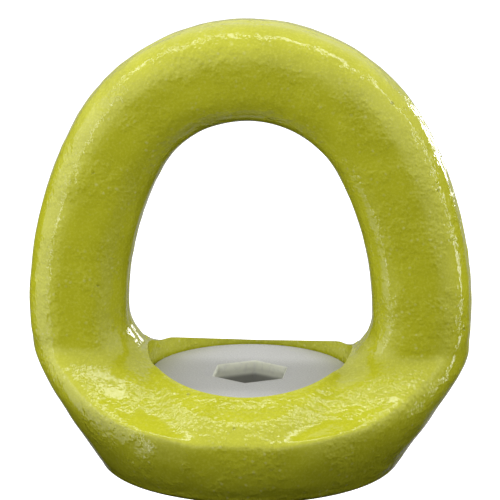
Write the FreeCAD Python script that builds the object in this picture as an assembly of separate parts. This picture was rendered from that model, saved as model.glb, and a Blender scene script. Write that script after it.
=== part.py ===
import FreeCAD, Part
import math
import os
from FreeCAD import Vector

# Swivel hoist ring, M20.  Millimetres.
# Origin: centre of the face that seats on the load, on the bolt axis.
# +Z runs up the bolt axis to the crown of the eye, X across the eye, Y through its opening.

# ---- driving dimensions ----
BAR = 17.8                # thickness of the eye's bow, across and through
CROWN_BAR = 17.7          # the bow is hardly thinner across at the crown
WIDEST_X = 38.9           # half of the overall width
WIDEST_Z = 28.0           # height at which the eye is widest
FLANK_R = 70.0            # outer radius of the long side arcs
CROWN_Z = 44.1            # centre height of the crown arc
# outer radius of the crown arc, tangent to both side arcs
CROWN_R = FLANK_R - math.hypot(FLANK_R - WIDEST_X, CROWN_Z - WIDEST_Z)
EYE_GAP = 0.05            # eye base stands this far above the seating face
HUB_TOP_Z = 16.6          # the legs spread into the hub from this height down
BORE_R = 14.05            # eye bore that turns on the bush
RECESS_R = 17.9           # recess that takes the bolt head
SEAT_Z = 7.3              # floor of the recess, under the thrust washer

HEAD_R = 17.4             # flat bolt head
HEAD_TOP_Z = 16.2         # a little below the rim of the recess
BUSH_LENGTH = 8.8         # clamped between the bolt head and the load
BUSH_R = 14.0
BUSH_BORE_R = 10.3
POCKET_R = 12.3           # counterbore in the foot of the bush for the retaining ring
POCKET_DEPTH = 2.6

THREAD_R = 10.0           # M20 major radius
THREAD_TOP_Z = 0.3
THREAD_END_Z = -28.5
TIP_CHAMFER = 1.5
WAIST_R = 9.4             # waisted shank inside the bush
GROOVE_R = 9.0            # retaining ring groove
GROOVE_Z = (0.8, 2.3)
SOCKET_FLATS = 12.0       # hexagon key size
SOCKET_DEPTH = 7.0
SOCKET_LEAD = 0.3
SOCKET_TURN = -2.0        # the key corners stand this many degrees off the Y axis

WASHER_IN_R = 14.3
WASHER_OUT_R = 17.4
WASHER_THICK = 1.2

RING_OUT_R = 11.5         # retaining ring
RING_THICK = 1.3
RING_GAP = 5.0            # gap between the ring's ends

# Outer wall of the foot, base to shoulders: height, half width in X, half depth in Y.
WALL = (
    (EYE_GAP, 25.4, 25.2),
    (1.0, 26.6, 26.1),
    (4.0, 28.7, 27.3),
    (6.5, 30.5, 27.8),
    (9.0, 32.3, 28.0),
    (11.3, 33.7, 27.9),
    (13.2, 35.0, 27.2),
    (15.0, 36.1, 25.8),
    (HUB_TOP_Z, 37.0, 24.2),
    (18.6, 37.9, 21.8),
    (20.6, 38.5, 19.6),
    (22.6, 38.8, 18.0),
    (24.4, 38.9, 17.0),
)

# Top of the round hub as (radius, height): rim of the recess, crease, edge of the wall.
HUB_TOP = ((17.4, 17.1), (24.2, 14.3), (27.9, 11.3), (31.5, 6.9))

# The floor of the eye opening is a saddle: from the rim's front and back it rises to the legs.
SADDLE_RIM = (17.9, 16.9)   # half depth and height of its front and back edges
SADDLE_SLOPE = 0.30         # rise of the saddle towards its middle
SADDLE_FALL = 0.84          # it falls this steeply to the crease of the hub

# Shoulder where each leg spreads into the hub: height, inner X, outer X, half depth, corner radius.
# Its outer side lies beyond the wall, which trims it.
SHOULDER = (
    (4.0, 5.0, 46.0, 31.0, 4.0),
    (9.0, 5.0, 44.0, 29.5, 4.0),
    (11.4, 5.5, 43.2, 27.1, 4.0),
    (13.3, 8.0, 42.4, 21.7, 4.0),
    (14.6, 9.5, 41.8, 19.0, 4.0),
    (HUB_TOP_Z, 11.5, 41.0, 15.6, 4.5),
    (19.0, 16.2, 39.6, 12.2, 6.0),
    (21.0, 18.3, 38.7, 9.6, 6.9),
    (24.0, 20.5, 38.5, 9.0, 7.3),
)

# Core of each leg, inside the shoulder and up to the flank arc: same columns.
LEG = (
    (12.0, 18.5, 30.5, 7.6, 6.0),
    (14.5, 18.0, 33.2, 8.2, 6.5),
    (HUB_TOP_Z, 17.6, 35.0, 8.6, 7.0),
    (18.6, 17.9, 36.6, 8.8, 7.2),
    (20.6, 18.7, 37.7, 9.0, 7.3),
    (22.6, 19.6, 38.35, 9.1, 7.3),
    (24.4, 20.5, 38.7, 9.1, 7.3),
    (26.2, 21.0, 38.85, 9.1, 7.3),
)

BOW_CORNER = 7.2          # corner radius of the bow's section
BOW_SWELL = 0.2           # the bow is this much deeper each side where it leaves the leg
SWELL_HEIGHT = 6.0        # the extra depth fades out over this height
CROWN_STEPS = 8
FLANK_STEPS = 3


def rounded_rectangle(centre, across, a, b, r):
    """Closed wire in the plane of across and Y, half sizes a and b, corner radius r."""
    r = min(r, a - 0.15, b - 0.15)
    k = r * math.sqrt(0.5)
    depth = Vector(0, 1, 0)

    def at(u, v):
        return centre + across * u + depth * v

    edges = []
    for side in (1, -1):
        p, q = side * (a - r), side * (b - r)
        kk = side * k
        edges.append(Part.LineSegment(at(side * a, -q), at(side * a, q)))
        edges.append(Part.Arc(at(side * a, q), at(p + kk, q + kk), at(p, side * b)))
        edges.append(Part.LineSegment(at(p, side * b), at(-p, side * b)))
        edges.append(Part.Arc(at(-p, side * b), at(-p - kk, q + kk), at(-side * a, q)))
    return Part.Wire([edge.toShape() for edge in edges])


def level_section(side, row):
    """Level section of one leg from a row of SHOULDER or LEG."""
    z, inner, outer, depth, corner = row
    centre = Vector(side * (inner + outer) / 2, 0, z)
    return rounded_rectangle(centre, Vector(side, 0, 0), (outer - inner) / 2, depth, corner)


def foot():
    """Round hub and the two shoulders, trimmed to one outer wall."""
    rims = []
    for z, a, b in WALL:
        rims.append(Part.Wire(Part.Ellipse(Vector(0, 0, z), a, b).toShape()))
    wall = Part.makeLoft(rims, True, False)
    far = 60
    profile = [(0, -1), (far, -1), (far, HUB_TOP[-1][1])]
    profile += reversed(HUB_TOP)
    profile.append((0, HUB_TOP[0][1]))
    filling = turned(profile)
    for side in (1, -1):
        filling = filling.fuse(Part.makeLoft([level_section(side, row) for row in SHOULDER], True, False))
    return wall.common(filling.fuse(saddle()))


def saddle():
    """Rise of the hub between the legs: a roof along X, trimmed by a cone that ends at the crease."""
    crease_r, crease_z = HUB_TOP[1]
    edge_y, edge_z = SADDLE_RIM
    base_z = crease_z - 4
    ridge_z = edge_z + edge_y * SADDLE_SLOPE
    outline = [(-crease_r, base_z), (-crease_r, crease_z), (-edge_y, edge_z), (0, ridge_z)]
    outline += [(-y, z) for y, z in outline[2::-1]]
    points = [Vector(-crease_r, y, z) for y, z in outline]
    roof = Part.Face(Part.makePolygon(points + points[:1])).extrude(Vector(2 * crease_r, 0, 0))
    tip_z = crease_z + crease_r * SADDLE_FALL
    return roof.common(turned([(0, base_z), (crease_r, base_z), (crease_r, crease_z), (0, tip_z)]))


def bow():
    """One bar from hub to hub: leg, flank arc, crown arc, flank arc, leg."""
    flank_x = WIDEST_X - FLANK_R
    join = math.atan2(CROWN_Z - WIDEST_Z, -flank_x)
    wires = [level_section(1, row) for row in LEG]
    arcs = []
    for step in range(FLANK_STEPS + 1):
        arcs.append((flank_x, WIDEST_Z, FLANK_R, join * step / FLANK_STEPS))
    for step in range(1, CROWN_STEPS):
        arcs.append((0.0, CROWN_Z, CROWN_R, join + (math.pi - 2 * join) * step / CROWN_STEPS))
    for step in range(FLANK_STEPS + 1):
        arcs.append((-flank_x, WIDEST_Z, FLANK_R, math.pi - join + join * step / FLANK_STEPS))
    for x, z, radius, turn in arcs:
        across = Vector(math.cos(turn), 0, math.sin(turn))
        half_width = (BAR + (CROWN_BAR - BAR) * math.sin(turn) ** 2) / 2
        centre = Vector(x, 0, z) + across * (radius - half_width)
        half_depth = BAR / 2 + BOW_SWELL * max(0.0, 1 - (centre.z - WIDEST_Z) / SWELL_HEIGHT)
        wires.append(rounded_rectangle(centre, across, half_width, half_depth, BOW_CORNER))
    wires += [level_section(-1, row) for row in reversed(LEG)]
    return Part.makeLoft(wires, True, False)


def tube(inner, outer, low, high):
    """Plain ring about the bolt axis."""
    ring = Part.makeCylinder(outer, high - low, Vector(0, 0, low))
    return ring.cut(Part.makeCylinder(inner, high - low, Vector(0, 0, low)))


def turned(points):
    """Solid of revolution about the bolt axis from (radius, height) points."""
    outline = [Vector(r, 0, z) for r, z in points]
    face = Part.Face(Part.makePolygon(outline + outline[:1]))
    return face.revolve(Vector(0, 0, 0), Vector(0, 0, 1), 360)


def eye_body():
    """Forged eye: hub and bow in one piece, bored for the bush and recessed for the bolt head."""
    body = foot().fuse(bow()).removeSplitter()
    lead = 0.6
    bore = turned([
        (0, -5), (BORE_R + lead, -5), (BORE_R + lead, EYE_GAP), (BORE_R, EYE_GAP + lead),
        (BORE_R, SEAT_Z), (RECESS_R, SEAT_Z), (RECESS_R, WIDEST_Z - 2), (0, WIDEST_Z - 2),
    ])
    return body.cut(bore)


def swivel_bush():
    """Hardened sleeve that the eye turns on.  The bolt clamps it to the load."""
    lead = 0.4
    throat = 1.2
    return turned([
        (POCKET_R, 0), (BUSH_R - lead, 0), (BUSH_R, lead), (BUSH_R, BUSH_LENGTH - lead),
        (BUSH_R - lead, BUSH_LENGTH), (BUSH_BORE_R + throat, BUSH_LENGTH),
        (BUSH_BORE_R, BUSH_LENGTH - throat), (BUSH_BORE_R, POCKET_DEPTH), (POCKET_R, POCKET_DEPTH),
    ])


def thrust_washer():
    """Flat ring between the eye's seat and the underside of the bolt head."""
    edge = 0.2
    low, high = SEAT_Z, SEAT_Z + WASHER_THICK
    return turned([
        (WASHER_IN_R, low + edge), (WASHER_IN_R + edge, low), (WASHER_OUT_R - edge, low),
        (WASHER_OUT_R, low + edge), (WASHER_OUT_R, high - edge), (WASHER_OUT_R - edge, high),
        (WASHER_IN_R + edge, high), (WASHER_IN_R, high - edge),
    ])


def hexagon(flats, low, high, grow=0.0):
    """Hexagonal prism whose corners lie near the Y axis, tapered outwards by grow at its top."""
    wires = []
    for z, size in ((low, flats), (high, flats + 2 * grow)):
        radius = size / math.sqrt(3)
        corners = []
        for n in range(6):
            turn = math.radians(90 + SOCKET_TURN + 60 * n)
            corners.append(Vector(radius * math.cos(turn), radius * math.sin(turn), z))
        wires.append(Part.makePolygon(corners + corners[:1]))
    return Part.makeLoft(wires, True, True)


def bolt():
    """M20 bolt with a flat round head, hexagon socket and waisted shank."""
    rim = 0.5
    under = BUSH_LENGTH
    land = 9.9
    low, high = GROOVE_Z
    ramp = THREAD_R - WAIST_R
    root = 0.8
    body = turned([
        (0, THREAD_END_Z - TIP_CHAMFER), (THREAD_R - TIP_CHAMFER, THREAD_END_Z - TIP_CHAMFER),
        (THREAD_R, THREAD_END_Z), (THREAD_R, THREAD_TOP_Z), (land, THREAD_TOP_Z + 0.1),
        (land, low), (GROOVE_R, low), (GROOVE_R, high), (land, high), (land, high + 0.7),
        (WAIST_R, high + 0.7 + ramp), (WAIST_R, under - root), (WAIST_R + root, under),
        (HEAD_R - rim, under), (HEAD_R, under + rim), (HEAD_R, HEAD_TOP_Z - rim),
        (HEAD_R - rim, HEAD_TOP_Z), (0, HEAD_TOP_Z),
    ])
    floor = HEAD_TOP_Z - SOCKET_DEPTH
    socket = hexagon(SOCKET_FLATS, floor, HEAD_TOP_Z + 1)
    mouth = hexagon(SOCKET_FLATS, HEAD_TOP_Z - SOCKET_LEAD, HEAD_TOP_Z, SOCKET_LEAD)
    drill = Part.makeCone(0.01, SOCKET_FLATS / 2 - 0.1, 2.2, Vector(0, 0, floor - 2.2))
    return body.cut(socket).cut(mouth).cut(drill)


def retaining_ring():
    """Open snap ring in the bolt's groove: it keeps the bolt in the bush when nothing holds it."""
    low = GROOVE_Z[0] + (GROOVE_Z[1] - GROOVE_Z[0] - RING_THICK) / 2
    ring = tube(GROOVE_R + 0.02, RING_OUT_R, low, low + RING_THICK)
    gap = Part.makeBox(RING_OUT_R + 5, RING_GAP, RING_THICK + 2, Vector(0, -RING_GAP / 2, low - 1))
    return ring.cut(gap)


PIECES = {
    "eye_body": eye_body,
    "bolt": bolt,
    "swivel_bush": swivel_bush,
    "thrust_washer": thrust_washer,
    "retaining_ring": retaining_ring,
}

os.makedirs("parts", exist_ok=True)
for node, make in PIECES.items():
    shape = make()
    box = shape.BoundBox
    shape.exportStep("parts/" + node + ".step")
    print(node, shape.isValid(), len(shape.Solids), round(shape.Volume), box)
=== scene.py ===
import math

import bmesh
import bpy
from mathutils.bvhtree import BVHTree
from mathutils import Matrix, Vector, noise


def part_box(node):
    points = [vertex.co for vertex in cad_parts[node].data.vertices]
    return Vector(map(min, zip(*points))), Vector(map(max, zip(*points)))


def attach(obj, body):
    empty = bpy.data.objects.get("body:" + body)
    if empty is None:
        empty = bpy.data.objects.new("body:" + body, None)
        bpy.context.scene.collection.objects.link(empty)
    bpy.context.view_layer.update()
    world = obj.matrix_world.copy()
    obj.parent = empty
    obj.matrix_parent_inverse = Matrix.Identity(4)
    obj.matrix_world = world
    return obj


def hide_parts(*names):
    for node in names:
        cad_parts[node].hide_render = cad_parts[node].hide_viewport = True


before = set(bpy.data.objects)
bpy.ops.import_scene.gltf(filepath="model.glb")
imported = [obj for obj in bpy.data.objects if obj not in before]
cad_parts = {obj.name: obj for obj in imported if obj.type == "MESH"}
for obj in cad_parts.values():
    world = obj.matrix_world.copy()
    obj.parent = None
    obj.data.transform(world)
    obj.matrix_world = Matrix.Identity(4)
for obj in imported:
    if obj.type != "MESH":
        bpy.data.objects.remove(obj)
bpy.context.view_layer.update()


# ---------------------------------------------------------------- studio
# A white table in a pale room.  A long strip light hangs over the crown, a wide
# soft wall and narrow strips stand at the sides, and a small lamp stands behind.

EYE_LOW, EYE_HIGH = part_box("eye_body")
TIP_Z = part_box("bolt")[0].z
MID_Z = (EYE_LOW.z + EYE_HIGH.z) / 2


def studio_lamp(name, place, target, width, height, power):
    """A rectangular area lamp that faces its target; sizes in metres, power in watts."""
    lamp = bpy.data.lights.new(name, "AREA")
    lamp.shape = "RECTANGLE"
    lamp.size, lamp.size_y = width, height
    lamp.energy = power
    holder = bpy.data.objects.new(name, lamp)
    holder.location = place
    holder.rotation_euler = (Vector(target) - Vector(place)).to_track_quat("-Z", "Y").to_euler()
    bpy.context.scene.collection.objects.link(holder)


AIM = (0.0, 0.0, MID_Z)
studio_lamp("top_strip", (0.0, 0.03, 0.42), (0.0, 0.0, EYE_HIGH.z), 1.15, 0.044, 0.98)
studio_lamp("right_strip", (0.40, 0.07, 0.06), AIM, 0.038, 0.42, 0.32)
studio_lamp("left_wall", (-0.36, -0.05, 0.02), AIM, 0.32, 0.46, 0.52)
studio_lamp("left_strip", (-0.35, -0.225, 0.02), AIM, 0.014, 0.46, 0.17)
studio_lamp("back_right_lamp", (0.21, 0.36, 0.065), AIM, 0.08, 0.08, 0.18)

# The room is pale at the front left, the front right and overhead, and dark low down,
# so undersides fall into shade.  Its back wall puts a thin reflection along every edge.
world = bpy.data.worlds.new("studio")
world.use_nodes = True
sky_nodes, sky_links = world.node_tree.nodes, world.node_tree.links
direction = sky_nodes.new("ShaderNodeTexCoord").outputs["Generated"]


def room_light(towards, start, end, strength):
    """Light that grows as the direction turns towards one side of the room."""
    turn = sky_nodes.new("ShaderNodeVectorMath")
    turn.operation = "DOT_PRODUCT"
    sky_links.new(direction, turn.inputs[0])
    turn.inputs[1].default_value = Vector(towards).normalized()
    share = sky_nodes.new("ShaderNodeMapRange")
    share.interpolation_type = "SMOOTHSTEP"
    limits = {"From Min": start, "From Max": end, "To Min": 0.0, "To Max": strength}
    for name, value in limits.items():
        share.inputs[name].default_value = value
    sky_links.new(turn.outputs["Value"], share.inputs["Value"])
    return share.outputs["Result"]


def room_sum(first, second):
    """Light from two parts of the room together."""
    both = sky_nodes.new("ShaderNodeMath")
    sky_links.new(first, both.inputs[0])
    sky_links.new(second, both.inputs[1])
    return both.outputs[0]


left_box = room_light((-0.85, -0.49, 0.17), 0.60, 1.02, 0.74)
right_box = room_light((0.85, -0.49, 0.17), 0.60, 1.02, 0.66)
ceiling = room_light((0, -0.10, 1.0), -0.15, 0.50, 0.87)
backdrop = room_light((0, 1, 0), 0.80, 0.97, 0.40)
room = room_sum(room_sum(left_box, right_box), room_sum(ceiling, backdrop))
sky_links.new(room, sky_nodes["Background"].inputs["Color"])
bpy.context.scene.world = world
bpy.context.scene.view_settings.view_transform = "Standard"

TABLE_HALF = 3.0
TABLE_DROP = 0.0005            # the table lies just under the tip of the bolt
table_mesh = bmesh.new()
bmesh.ops.create_grid(table_mesh, x_segments=1, y_segments=1, size=TABLE_HALF)
bmesh.ops.translate(table_mesh, verts=table_mesh.verts, vec=(0, 0, TIP_Z - TABLE_DROP))
table_data = bpy.data.meshes.new("table")
table_mesh.to_mesh(table_data)
table_mesh.free()
table = bpy.data.objects.new("table", table_data)
bpy.context.scene.collection.objects.link(table)
white = bpy.data.materials.new("white_table")
white.use_nodes = True
white_shader = white.node_tree.nodes["Principled BSDF"]
white_shader.inputs["Base Color"].default_value = (0.93, 0.93, 0.93, 1)
white_shader.inputs["Roughness"].default_value = 0.9
white_shader.inputs["Emission Color"].default_value = (1.0, 1.0, 1.0, 1)
white_shader.inputs["Emission Strength"].default_value = 0.45
table_data.materials.append(white)
# The table throws no light back up, so the object looks as it does on open ground.
table.visible_diffuse = False
table.visible_glossy = False

# A low dark card bent round the front keeps the light off the lower wall of the hub.
CARD_RADIUS, CARD_TOP, CARD_SIDES = 0.060, 0.013, 24
CARD_START, CARD_SWEEP = 190.0, 160.0   # degrees round the bolt axis
card_mesh = bmesh.new()
rails = []
for height in (TIP_Z, CARD_TOP):
    turns = [math.radians(CARD_START + CARD_SWEEP * side / CARD_SIDES) for side in range(CARD_SIDES + 1)]
    places = [(CARD_RADIUS * math.cos(turn), CARD_RADIUS * math.sin(turn), height) for turn in turns]
    rails.append([card_mesh.verts.new(place) for place in places])
for side in range(CARD_SIDES):
    card_mesh.faces.new((rails[0][side], rails[0][side + 1], rails[1][side + 1], rails[1][side]))
card_data = bpy.data.meshes.new("dark_card")
card_mesh.to_mesh(card_data)
card_mesh.free()
card = bpy.data.objects.new("dark_card", card_data)
bpy.context.scene.collection.objects.link(card)
black_card = bpy.data.materials.new("black_card")
black_card.use_nodes = True
card_shader = black_card.node_tree.nodes["Principled BSDF"]
card_shader.inputs["Base Color"].default_value = (0.02, 0.02, 0.02, 1)
card_data.materials.append(black_card)
card.visible_camera = False
card.visible_glossy = False

# The camera stands a little to the right of the eye's own front and above it.
CAMERA_AZIMUTH = 5.0
CAMERA_ELEVATION = 14.5
CAMERA_DISTANCE = 0.60
CAMERA_TARGET = Vector((0.0, 0.0, 0.0382))
VIEW_WIDTH = 0.087             # seen across at the camera's target
azimuth, elevation = math.radians(CAMERA_AZIMUTH), math.radians(CAMERA_ELEVATION)
back = Vector((
    math.sin(azimuth) * math.cos(elevation),
    -math.cos(azimuth) * math.cos(elevation),
    math.sin(elevation),
))
camera_data = bpy.data.cameras.new("camera")
camera_data.sensor_width = 36.0
camera_data.lens = camera_data.sensor_width * CAMERA_DISTANCE / VIEW_WIDTH
camera_data.clip_start, camera_data.clip_end = 0.01, 20.0
camera = bpy.data.objects.new("camera", camera_data)
camera.location = CAMERA_TARGET + back * CAMERA_DISTANCE
camera.rotation_euler = (-back).to_track_quat("-Z", "Y").to_euler()
bpy.context.scene.collection.objects.link(camera)
bpy.context.scene.camera = camera


# ---------------------------------------------------------------- eye body
# One steel drop forging: a D-shaped bow of nearly round bar on a round hub, trimmed at
# the parting line, bored, blasted and powder coated lime-yellow.  Its skin stays wavy and
# pitted under the gloss.  It turns on the bush, held down by the washer and the bolt head.

MM = 0.001
SKIN_STEP = 0.48 * MM          # mesh step of the coated skin
SKIN_ROUNDING = 9              # passes that round the edges under the coat
RIM_ROUNDING = 6               # fewer of them reach the rim and the wall of the recess
RECESS_RADIUS = 17.95 * MM
RECESS_TOP = 21.0 * MM         # the recess cuts into the legs up to this height
BORED_RADIUS = 18.1 * MM       # inside this the eye is machined
SKIN_BLEND = 3.0 * MM          # outside it the forged skin comes in over this width
RIM_RADIUS = 19.2 * MM         # outer edge of the rim round the recess
CUT_STEPS = 180
PLUG_FOOT, PLUG_RIM, PLUG_TOP = 12.0 * MM, 16.5 * MM, 22.3 * MM
PLUG_OVERLAP = 0.2 * MM
DRILL_FOOT = 11.0 * MM         # the cutter goes right through the plug
DRILL_TOP = 24.3 * MM
SHARP_CORNER = 0.9             # radians
WAVE_HEIGHT = 0.16 * MM        # waves left by the dies
LONG_WAVE, SHORT_WAVE = 7.5 * MM, 3.1 * MM
CHATTER = 2.2 * MM             # the trimmed flash is uneven over this length
FLASH_HEIGHT = 0.22 * MM       # trimmed flash along the parting line
FLASH_WIDTH = 0.75 * MM


class Tone:
    """A value that varies over a surface; sums and products of tones become Math nodes."""

    def __init__(self, finish, socket):
        self.finish = finish
        self.socket = socket

    def math(self, operation, first, second):
        return self.finish.node("Math", {"operation": operation}, {0: first, 1: second})

    def __add__(self, other):
        return self.math("ADD", self, other)

    def __sub__(self, other):
        return self.math("SUBTRACT", self, other)

    def __rsub__(self, other):
        return self.math("SUBTRACT", other, self)

    def __mul__(self, other):
        return self.math("MULTIPLY", self, other)

    __radd__ = __add__
    __rmul__ = __mul__


class Finish:
    """One procedural finish: a material and the nodes that feed its shader."""

    def __init__(self, name, **constants):
        self.material = bpy.data.materials.new(name)
        self.material.use_nodes = True
        self.tree = self.material.node_tree
        self.shader = self.tree.nodes["Principled BSDF"]
        for socket, value in constants.items():
            self.shader.inputs[socket.replace("_", " ")].default_value = value
        self.place = self.node("TexCoord", out="Object")

    def put(self, socket, value):
        """Links a tone to a socket, or sets a constant on it."""
        if isinstance(value, Tone):
            self.tree.links.new(value.socket, socket)
        else:
            socket.default_value = value

    def node(self, kind, settings=None, sockets=None, out=0):
        """Adds one shader node and gives the tone of its output."""
        made = self.tree.nodes.new("ShaderNode" + kind)
        for name, value in (settings or {}).items():
            setattr(made, name, value)
        for name, value in (sockets or {}).items():
            self.put(made.inputs[name], value)
        return Tone(self, made.outputs[out])

    def noise(self, size, detail=2.0, roughness=0.5, at=None):
        """Cloudy pattern whose lumps are about size metres across, from 0 to 1."""
        return self.node("TexNoise", {}, {
            "Vector": at or self.place, "Scale": 1.0 / size, "Detail": detail, "Roughness": roughness,
        })

    def ramp(self, tone, low, high):
        """0 below low, 1 above high, smooth between."""
        return self.node("MapRange", {"interpolation_type": "SMOOTHSTEP"}, {
            "Value": tone, "From Min": low, "From Max": high,
        })

    def blend(self, amount, first, second):
        """The first colour at 0, the second at 1."""
        return self.node("Mix", {"data_type": "RGBA"}, {0: amount, 6: first, 7: second}, out=2)

    def relief(self, height):
        """Surface relief; height is in metres."""
        return self.node("Bump", {}, {"Height": height, "Distance": 1.0, "Strength": 1.0})

    def shade(self, **inputs):
        """Feeds the shader and gives the material."""
        for name, value in inputs.items():
            self.put(self.shader.inputs[name.replace("_", " ")], value)
        return self.material


def lime_coating():
    """Thick glossy powder coat: smooth in places, rough where the blasting shows, with pale specks of
    painted glint that gather there, and pits painted dark as painted shade.
    """
    coat = Finish("lime_coating", Specular_IOR_Level=0.5, IOR=1.5)
    cloud = coat.noise(7.0 * MM, 3.0, 0.55)
    grain = coat.noise(0.45 * MM, 2.0, 0.6)
    wander = coat.node("VectorMath", {"operation": "MULTIPLY_ADD"}, {
        0: coat.node("TexNoise", {}, {"Vector": coat.place, "Scale": 1.0 / (0.8 * MM)}, out="Color"),
        1: (0.5 * MM,) * 3, 2: coat.place,
    })

    def spots(spacing, chance, size):
        """Scattered uneven spots, from 0 between them to 1 at their middles."""
        cells = {"Vector": wander, "Scale": 1.0 / spacing, "Randomness": 1.0}
        reach = coat.node("TexVoronoi", {}, cells, out="Distance")
        draw = coat.node("SeparateColor", {}, {"Color": coat.node("TexVoronoi", {}, cells, out="Color")})
        return (1 - coat.ramp(reach, 0.25 * size, size)) * coat.ramp(draw, 1 - chance, 1.03 - chance)

    shaded_pits = spots(4.2 * MM, 0.22, 0.12)
    glint_specks = spots(1.1 * MM, 0.45, 0.36)
    across = coat.node("VectorMath", {"operation": "MULTIPLY"}, {0: coat.place, 1: (1, 1, 0)})
    radius = coat.node("VectorMath", {"operation": "LENGTH"}, {0: across}, out="Value")
    up = coat.node("SeparateXYZ", {}, {0: coat.place}, out="Z")
    collar = (1 - coat.ramp(radius, 23.0 * MM, 26.0 * MM)) * coat.ramp(up, 12.0 * MM, 14.0 * MM)
    collar = collar * (1 - coat.ramp(up, 17.0 * MM, 19.0 * MM))
    blasted = coat.ramp(coat.noise(8.0 * MM, 4.0, 0.65) + 0.20 * collar, 0.44, 0.60)
    olive = coat.blend(coat.ramp(cloud, 0.30, 0.70), (0.460, 0.468, 0.017, 1), (0.510, 0.520, 0.022, 1))
    grained = coat.blend(coat.ramp(grain, 0.42, 0.75) * 0.55, olive, (0.62, 0.63, 0.06, 1))
    # The pale specks are painted glints, denser where the coat is blasted; the relief also raises them
    # slightly.
    glinted = coat.blend(glint_specks * (0.16 + 0.44 * blasted), grained, (0.68, 0.68, 0.20, 1))
    # The pits are painted dark as well as sunk by the relief: painted shade in the pits.
    colour = coat.blend(shaded_pits * 0.55, glinted, (0.15, 0.15, 0.004, 1))
    swell = coat.noise(1.1 * MM, 1.5, 0.5)
    peel = coat.noise(0.5 * MM, 2.0, 0.55)
    height = (
        swell * (0.045 + 0.13 * blasted) * MM + peel * (0.010 + 0.030 * blasted) * MM
        + glint_specks * (0.006 * MM) - shaded_pits * (0.09 * MM)
    )
    return coat.shade(
        Base_Color=colour,
        Roughness=0.07 + 0.06 * blasted + 0.04 * grain,
        Normal=coat.relief(height),
    )


def finished(name, bm, material, body):
    """Turns a bmesh into a smooth piece of the object that rides on one body."""
    data = bpy.data.meshes.new(name)
    bm.to_mesh(data)
    bm.free()
    for face in data.polygons:
        face.use_smooth = True
    data.materials.append(material)
    piece = bpy.data.objects.new(name, data)
    bpy.context.scene.collection.objects.link(piece)
    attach(piece, body)
    return piece


def applied(bm, *modifiers):
    """The bmesh after these modifiers, each (kind, settings), as a new bmesh."""
    data = bpy.data.meshes.new("working")
    bm.to_mesh(data)
    bm.free()
    holder = bpy.data.objects.new("working", data)
    bpy.context.scene.collection.objects.link(holder)
    for kind, settings in modifiers:
        modifier = holder.modifiers.new(kind.lower(), kind)
        for name, value in settings.items():
            setattr(modifier, name, value)
    depsgraph = bpy.context.evaluated_depsgraph_get()
    result = bmesh.new()
    result.from_mesh(holder.evaluated_get(depsgraph).to_mesh())
    bpy.data.objects.remove(holder)
    bpy.data.meshes.remove(data)
    return result


def near(value, low, high):
    """0 at low and below, 1 at high and above, smooth between."""
    share = min(max((value - low) / (high - low), 0.0), 1.0)
    return share * share * (3 - 2 * share)


def forged(point, normal):
    """How far the forged skin stands out at a point, never more than 0."""
    radius = math.hypot(point.x, point.y)
    skin = near(radius, BORED_RADIUS, BORED_RADIUS + SKIN_BLEND) if point.z < RECESS_TOP else 1.0
    skin *= near(point.z, 0.2 * MM, 1.6 * MM)
    wave = noise.noise(point / LONG_WAVE) + 0.5 * noise.noise(point / SHORT_WAVE + Vector((7, 3, 1)))
    wave = (wave / 1.5 - 0.75) * WAVE_HEIGHT
    chatter = 0.65 + 0.35 * noise.noise(point / CHATTER + Vector((1, 9, 4)))
    flank = near(abs(normal.x) + abs(normal.z) * near(point.z, 40 * MM, 60 * MM), 0.5, 0.9)
    flash = FLASH_HEIGHT * (flank * chatter * math.exp(-(point.y / FLASH_WIDTH) ** 2) - 1)
    return (wave + flash) * skin


def plug(bm, surface):
    """Fills the top of the recess, so that the skin runs on over it as on the uncut blank."""
    rim, foot = [], []
    for step in range(CUT_STEPS):
        angle = 2 * math.pi * step / CUT_STEPS
        out = Vector((math.cos(angle), math.sin(angle), 0)) * (RECESS_RADIUS + PLUG_OVERLAP)
        above = out + Vector((0, 0, RECESS_TOP))
        below = surface.ray_cast(above, Vector((0, 0, -1)))[0]
        rim.append(bm.verts.new((out.x, out.y, max(below.z, PLUG_RIM))))
        foot.append(bm.verts.new((out.x, out.y, PLUG_FOOT)))
    top, base = bm.verts.new((0, 0, PLUG_TOP)), bm.verts.new((0, 0, PLUG_FOOT))
    for step in range(CUT_STEPS):
        after = (step + 1) % CUT_STEPS
        bm.faces.new((rim[step], rim[after], top))
        bm.faces.new((foot[after], foot[step], base))
        bm.faces.new((foot[step], foot[after], rim[after], rim[step]))


def drill():
    """The round cutter that opens the recess from above."""
    bm = bmesh.new()
    bmesh.ops.create_cone(
        bm, cap_ends=True, segments=CUT_STEPS, radius1=RECESS_RADIUS, radius2=RECESS_RADIUS,
        depth=DRILL_TOP - DRILL_FOOT,
    )
    bmesh.ops.translate(bm, verts=bm.verts, vec=(0, 0, (DRILL_TOP + DRILL_FOOT) / 2))
    data = bpy.data.meshes.new("drill")
    bm.to_mesh(data)
    bm.free()
    holder = bpy.data.objects.new("drill", data)
    bpy.context.scene.collection.objects.link(holder)
    return holder


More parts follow.
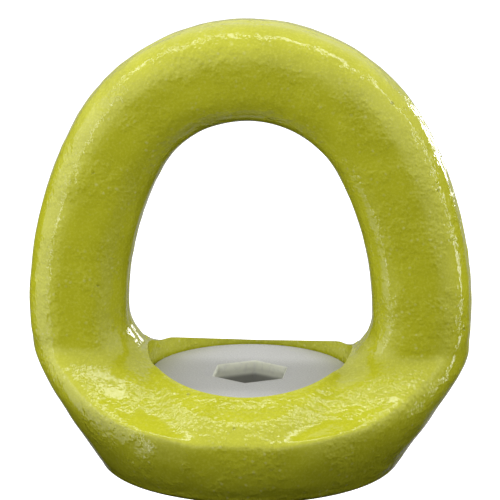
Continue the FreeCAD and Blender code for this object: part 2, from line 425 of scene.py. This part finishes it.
forging = bmesh.new()
forging.from_mesh(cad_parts["eye_body"].data)
bmesh.ops.remove_doubles(forging, verts=forging.verts, dist=1e-7)
plug(forging, BVHTree.FromBMesh(forging))
forging = applied(forging, ("REMESH", {"mode": "VOXEL", "voxel_size": SKIN_STEP}))
skin_verts = [vert for vert in forging.verts if vert.co.z > RECESS_TOP or vert.co.xy.length > RIM_RADIUS]
for step in range(SKIN_ROUNDING):
    bmesh.ops.smooth_vert(
        forging, verts=forging.verts if step < RIM_ROUNDING else skin_verts, factor=0.5,
        use_axis_x=True, use_axis_y=True, use_axis_z=True,
    )
forging.normal_update()
moves = [(vert, vert.normal * forged(vert.co, vert.normal)) for vert in forging.verts]
for vert, move in moves:
    vert.co += move
cutter = drill()
forging = applied(forging, ("BOOLEAN", {"operation": "DIFFERENCE", "solver": "EXACT", "object": cutter}))
bpy.data.objects.remove(cutter)
for edge in forging.edges:
    edge.smooth = edge.calc_face_angle(0) < SHARP_CORNER
eye = finished("forged_eye", forging, lime_coating(), "eye")
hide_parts("eye_body")


# ---------------------------------------------------------------- thrust washer
# A flat bearing-bronze ring, parted off a bar and faced on both sides.  It
# lies on the seat of the eye and turns under the bolt head.

WASHER_LOW, WASHER_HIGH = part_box("thrust_washer")
WASHER_BORE = 14.3 * MM
TURNING_STEPS = 96


def turned(outline, rounding, closed=True):
    """Shell of revolution about the bolt axis from (radius, height) points, edges rounded."""
    bm = bmesh.new()
    points = [bm.verts.new((radius, 0, height)) for radius, height in outline]
    for first, second in zip(points, points[1:]):
        bm.edges.new((first, second))
    if closed:
        bm.edges.new((points[-1], points[0]))
    corners = [point for point in points if len(point.link_edges) == 2]
    bmesh.ops.bevel(
        bm, geom=corners, offset=rounding, segments=3, profile=0.5, affect="VERTICES", material=-1,
    )
    bmesh.ops.spin(
        bm, geom=bm.verts[:] + bm.edges[:], cent=(0, 0, 0), axis=(0, 0, 1),
        angle=2 * math.pi, steps=TURNING_STEPS, use_merge=True,
    )
    bmesh.ops.remove_doubles(bm, verts=bm.verts, dist=0.001 * MM)
    bmesh.ops.recalc_face_normals(bm, faces=bm.faces)
    return bm


def turned_metal(name, bright, dark, roughness, groove_depth):
    """Bare machined metal with the fine rings that the cutting tool leaves."""
    metal = Finish(name, Metallic=1.0, Specular_IOR_Level=0.5)
    across = metal.node("VectorMath", {"operation": "MULTIPLY"}, {0: metal.place, 1: (1, 1, 0)})
    radius = metal.node("VectorMath", {"operation": "LENGTH"}, {0: across}, out="Value")
    up = metal.node("SeparateXYZ", {}, {0: metal.place}, out="Z")
    lathe = metal.node("CombineXYZ", {}, {0: radius, 2: up})
    rings = metal.noise(0.18 * MM, 3.0, 0.6, at=lathe)
    stain = metal.noise(4.0 * MM, 3.0, 0.6)
    colour = metal.blend(metal.ramp(rings * 0.5 + stain * 0.5, 0.35, 0.65), dark, bright)
    return metal.shade(
        Base_Color=colour,
        Roughness=roughness + 0.15 * stain,
        Normal=metal.relief(rings * groove_depth),
    )


washer_mesh = turned([
    (WASHER_BORE, WASHER_LOW.z), (WASHER_HIGH.x, WASHER_LOW.z),
    (WASHER_HIGH.x, WASHER_HIGH.z), (WASHER_BORE, WASHER_HIGH.z),
], 0.2 * MM)
bronze = turned_metal("bearing_bronze", (0.62, 0.40, 0.16, 1), (0.38, 0.22, 0.08, 1), 0.28, 0.006 * MM)
washer = finished("bronze_thrust_washer", washer_mesh, bronze, "washer")
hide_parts("thrust_washer")


# ---------------------------------------------------------------- bolt
# One M20 bolt turned from alloy steel and coated in matt light grey zinc
# flake.  The flat round head has a broached hexagon socket; the shank is
# waisted inside the bush, grooved for the retaining ring and threaded below.

BOLT_LOW, BOLT_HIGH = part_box("bolt")
HEAD_TOP = BOLT_HIGH.z
HEAD_RADIUS = BOLT_HIGH.x
HEAD_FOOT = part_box("swivel_bush")[1].z
HEAD_EDGE = 0.12 * MM          # rounding of the head's rim
WAIST_RADIUS = 9.4 * MM
LAND_RADIUS = 9.9 * MM
GROOVE_RADIUS = 9.0 * MM
GROOVE_LOW, GROOVE_HIGH = 0.8 * MM, 2.3 * MM
KEY_FLATS = 12.0 * MM          # hexagon key size
KEY_DEPTH = 7.0 * MM
KEY_LEAD = 0.30 * MM           # chamfer at the mouth of the socket
KEY_TURN = math.radians(-2.0)
SOCKET_RIM = 8.6 * MM          # the head's face is plain outside this radius
THREAD_RADIUS = 9.98 * MM
PITCH = 2.5 * MM
THREAD_DEPTH = 1.53 * MM
RUN_OUT = (-0.2 * MM, -3.6 * MM)   # the thread deepens between these heights
TIP_CHAMFER = 1.5 * MM
THREAD_TOP = 0.3 * MM


def carried_on(bm, edges, scale, drop):
    """Extrudes an edge loop, scales it about the bolt axis and lowers it; gives the new loop."""
    grown = bmesh.ops.extrude_edge_only(bm, edges=edges)["geom"]
    verts = [item for item in grown if isinstance(item, bmesh.types.BMVert)]
    bmesh.ops.scale(bm, verts=verts, vec=(scale, scale, 1))
    bmesh.ops.translate(bm, verts=verts, vec=(0, 0, -drop))
    loop = set(verts)
    return [item for item in grown if isinstance(item, bmesh.types.BMEdge) and set(item.verts) <= loop]


def going_round(edges):
    """The vertices of a loop in their order round the bolt axis."""
    verts = {vert for edge in edges for vert in edge.verts}
    return sorted(verts, key=lambda vert: math.atan2(vert.co.y, vert.co.x))


def head_and_waist():
    """The head with its socket and the plain shank down to the thread."""
    ramp = 0.6 * MM
    bm = turned([
        (SOCKET_RIM, HEAD_TOP), (HEAD_RADIUS, HEAD_TOP), (HEAD_RADIUS, HEAD_FOOT),
        (WAIST_RADIUS + ramp, HEAD_FOOT), (WAIST_RADIUS, HEAD_FOOT - ramp),
        (WAIST_RADIUS, GROOVE_HIGH + 2 * ramp), (LAND_RADIUS, GROOVE_HIGH + ramp),
        (LAND_RADIUS, GROOVE_HIGH), (GROOVE_RADIUS, GROOVE_HIGH), (GROOVE_RADIUS, GROOVE_LOW),
        (LAND_RADIUS, GROOVE_LOW), (LAND_RADIUS, 0.2 * MM), (WAIST_RADIUS - 2 * ramp, 0.2 * MM),
    ], HEAD_EDGE, closed=False)
    rims = [edge for edge in bm.edges if edge.is_boundary]
    face_rim = [edge for edge in rims if edge.verts[0].co.z > HEAD_FOOT]
    bmesh.ops.holes_fill(bm, edges=[edge for edge in rims if edge not in face_rim])
    mouth_size = KEY_FLATS + 2 * KEY_LEAD
    mouth = bmesh.ops.create_circle(bm, segments=6, radius=mouth_size / math.sqrt(3))["verts"]
    bmesh.ops.rotate(
        bm, verts=mouth, cent=(0, 0, 0), matrix=Matrix.Rotation(KEY_TURN, 3, "Z"),
    )
    bmesh.ops.translate(bm, verts=mouth, vec=(0, 0, HEAD_TOP))
    sides = list({edge for vert in mouth for edge in vert.link_edges})
    cut = bmesh.ops.subdivide_edges(bm, edges=sides, cuts=TURNING_STEPS // 6 - 1)
    sides = [item for item in cut["geom"] if isinstance(item, bmesh.types.BMEdge)]
    outer, inner = going_round(face_rim), going_round(sides)
    for index in range(TURNING_STEPS):
        bm.faces.new((outer[index - 1], outer[index], inner[index], inner[index - 1]))
    wall = carried_on(bm, sides, KEY_FLATS / mouth_size, KEY_LEAD)
    for share in (0.2, 0.3, 0.5):
        wall = carried_on(bm, wall, 1.0, (KEY_DEPTH - KEY_LEAD) * share)
    cone = carried_on(bm, wall, 0.80, 0.0)
    cone = carried_on(bm, cone, 0.5, 1.1 * MM)
    bmesh.ops.holes_fill(bm, edges=cone)
    bmesh.ops.remove_doubles(bm, verts=bm.verts, dist=0.001 * MM)
    bmesh.ops.recalc_face_normals(bm, faces=bm.faces)
    return bm


def thread():
    """A 60 degree metric thread: one groove swept round and down, trimmed and chamfered."""
    bm = bmesh.new()
    crest, root = 0.06, 0.69
    # Outline of one pitch: share of the pitch, share of the thread's depth.
    groove = [
        (0.0, 0.0), (crest, 0.0), (crest + 0.10, 0.30), (crest + 0.21, 0.66), (crest + 0.31, 1.0),
        (root, 1.0), (root + 0.10, 0.66), (root + 0.21, 0.30), (1.0 - crest, 0.0), (1.0, 0.0),
    ]
    points = []
    for share, depth in groove:
        points.append(bm.verts.new((THREAD_RADIUS - depth * THREAD_DEPTH, 0, share * PITCH)))
    for first, second in zip(points, points[1:]):
        bm.edges.new((first, second))
    turns = int((THREAD_TOP - BOLT_LOW.z) / PITCH) + 3
    bmesh.ops.translate(bm, verts=bm.verts, vec=(0, 0, BOLT_LOW.z - 1.5 * PITCH))
    bmesh.ops.spin(
        bm, geom=bm.verts[:] + bm.edges[:], cent=(0, 0, 0), axis=(0, 0, 1),
        dvec=(0, 0, PITCH / TURNING_STEPS), angle=2 * math.pi * turns, steps=TURNING_STEPS * turns,
    )
    bmesh.ops.remove_doubles(bm, verts=bm.verts, dist=0.001 * MM)
    for height, side in ((BOLT_LOW.z, -1), (THREAD_TOP, 1)):
        geometry = bm.verts[:] + bm.edges[:] + bm.faces[:]
        bmesh.ops.bisect_plane(
            bm, geom=geometry, plane_co=(0, 0, height), plane_no=(0, 0, side), clear_outer=True,
            dist=0.002 * MM,
        )
    for vert in bm.verts:
        radius = math.hypot(vert.co.x, vert.co.y)
        depth = (THREAD_RADIUS - radius) * near(-vert.co.z, -RUN_OUT[0], -RUN_OUT[1])
        allowed = THREAD_RADIUS - max(0.0, BOLT_LOW.z + TIP_CHAMFER - vert.co.z)
        scale = min(THREAD_RADIUS - depth, allowed) / radius
        vert.co.x *= scale
        vert.co.y *= scale
    bmesh.ops.holes_fill(bm, edges=[edge for edge in bm.edges if edge.is_boundary])
    bmesh.ops.recalc_face_normals(bm, faces=bm.faces)
    return bm


def zinc_flake():
    """Matt grey zinc flake: even on the head, with painted light on the upper walls of the socket and
    painted shade deeper in it, bright on the thread.
    """
    flake = Finish("zinc_flake", Metallic=0.0, IOR=1.5)
    up = flake.node("SeparateXYZ", {}, {0: flake.place}, out="Z")
    across = flake.node("VectorMath", {"operation": "MULTIPLY"}, {0: flake.place, 1: (1, 1, 0)})
    radius = flake.node("VectorMath", {"operation": "LENGTH"}, {0: across}, out="Value")
    grain = flake.noise(0.30 * MM, 3.0, 0.65)
    cloud = flake.noise(5.0 * MM, 3.0, 0.6)
    light_patches = flake.noise(0.9 * MM, 3.0, 0.6)
    inside = 1 - flake.ramp(radius, 7.3 * MM, 7.4 * MM)
    # Painted light: the socket's walls get a pale, lime-tinted colour, as if lit and reflecting the coat
    # around.
    wall = inside * (1 - flake.ramp(up, HEAD_TOP - 0.10 * MM, HEAD_TOP - 0.02 * MM))
    # Painted shade: from about 2 mm down, the socket turns dark.
    painted_socket_shade = inside * (1 - flake.ramp(up, HEAD_TOP - 2.8 * MM, HEAD_TOP - 2.0 * MM))
    rolled = 1 - flake.ramp(up, -0.4 * MM, 0.2 * MM)
    tone = flake.blend(flake.ramp(grain, 0.35, 0.70), (0.46, 0.46, 0.455, 1), (0.585, 0.585, 0.58, 1))
    face = flake.blend(flake.ramp(cloud, 0.40, 0.75) * 0.25, tone, (0.46, 0.465, 0.48, 1))
    # The painted light on the socket's walls, broken into patches.
    mouth = flake.blend(wall * (0.60 + 0.35 * flake.ramp(light_patches, 0.30, 0.55)), face, (0.70, 0.71, 0.62, 1))
    # Painted shade deep in the socket.
    socket = flake.blend(painted_socket_shade * 0.9, mouth, (0.22, 0.22, 0.20, 1))
    colour = flake.blend(rolled * 0.8, socket, (0.50, 0.50, 0.50, 1))
    return flake.shade(
        Base_Color=colour,
        Metallic=0.25 + 0.65 * rolled,
        Roughness=0.50 + 0.15 * grain - 0.25 * rolled,
        Normal=flake.relief(grain * (0.010 * MM) + cloud * (0.03 * MM)),
    )


bolt_mesh = head_and_waist()
thread_data = bpy.data.meshes.new("thread")
thread_mesh = thread()
thread_mesh.to_mesh(thread_data)
thread_mesh.free()
bolt_mesh.from_mesh(thread_data)
bpy.data.meshes.remove(thread_data)
bolt = finished("socket_bolt", bolt_mesh, zinc_flake(), "bolt_and_bush")
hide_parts("bolt")


# ---------------------------------------------------------------- swivel bush
# A sleeve turned from bearing steel, hardened and ground.  The bolt clamps it
# to the load; its foot is counterbored for the retaining ring.

BUSH_LOW, BUSH_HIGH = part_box("swivel_bush")
BUSH_BORE = 10.3 * MM
BUSH_THROAT = 1.2 * MM
POCKET_RADIUS = 12.3 * MM
POCKET_DEPTH = 2.6 * MM

bush_mesh = turned([
    (POCKET_RADIUS, BUSH_LOW.z), (BUSH_HIGH.x, BUSH_LOW.z), (BUSH_HIGH.x, BUSH_HIGH.z),
    (BUSH_BORE + BUSH_THROAT, BUSH_HIGH.z), (BUSH_BORE, BUSH_HIGH.z - BUSH_THROAT),
    (BUSH_BORE, POCKET_DEPTH), (POCKET_RADIUS, POCKET_DEPTH),
], 0.3 * MM)
ground = turned_metal("ground_steel", (0.56, 0.55, 0.54, 1), (0.36, 0.35, 0.35, 1), 0.22, 0.004 * MM)
bush = finished("ground_bush", bush_mesh, ground, "bolt_and_bush")
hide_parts("swivel_bush")


# ---------------------------------------------------------------- retaining ring
# An open snap ring pressed from blackened spring steel.  It sits in the bolt's
# groove, inside the foot of the bush, and keeps the parts together.

RING_LOW, RING_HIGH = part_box("retaining_ring")
RING_GAP = 5.0 * MM
RING_STEPS = 64
RING_EDGE = 0.15 * MM          # the pressed edges are slightly rounded
RING_CORNER = math.radians(40)


def snap_ring():
    """The open ring: a square section swept round from one side of the gap to the other."""
    inner, outer = GROOVE_RADIUS + 0.05 * MM, RING_HIGH.y
    bm = bmesh.new()
    corners = []
    for radius, height in (
        (inner, RING_LOW.z), (outer, RING_LOW.z), (outer, RING_HIGH.z), (inner, RING_HIGH.z),
    ):
        corners.append(bm.verts.new((radius, 0, height)))
    section = bm.faces.new(corners)
    half_gap = math.asin(RING_GAP / 2 / outer)
    bmesh.ops.rotate(bm, verts=corners, cent=(0, 0, 0), matrix=Matrix.Rotation(half_gap, 3, "Z"))
    bmesh.ops.spin(
        bm, geom=[section] + section.edges[:], cent=(0, 0, 0), axis=(0, 0, 1),
        angle=2 * (math.pi - half_gap), steps=RING_STEPS,
    )
    bmesh.ops.recalc_face_normals(bm, faces=bm.faces)
    sharp = [edge for edge in bm.edges if edge.calc_face_angle(0) > RING_CORNER]
    bmesh.ops.bevel(
        bm, geom=sharp, offset=RING_EDGE, segments=2, profile=0.5, affect="EDGES", material=-1,
    )
    return bm


def blackened_spring_steel():
    """Oiled black oxide, rubbed brighter in places."""
    black = Finish("blackened_spring_steel", Metallic=0.8, Specular_IOR_Level=0.5)
    rub = black.ramp(black.noise(1.6 * MM, 4.0, 0.65), 0.52, 0.72)
    fine = black.noise(0.25 * MM, 2.0, 0.6)
    colour = black.blend(rub, (0.035, 0.036, 0.040, 1), (0.17, 0.17, 0.17, 1))
    return black.shade(
        Base_Color=colour,
        Roughness=0.34 + 0.12 * fine - 0.08 * rub,
        Normal=black.relief(fine * (0.006 * MM)),
    )


ring = finished("snap_ring", snap_ring(), blackened_spring_steel(), "bolt_and_bush")
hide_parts("retaining_ring")
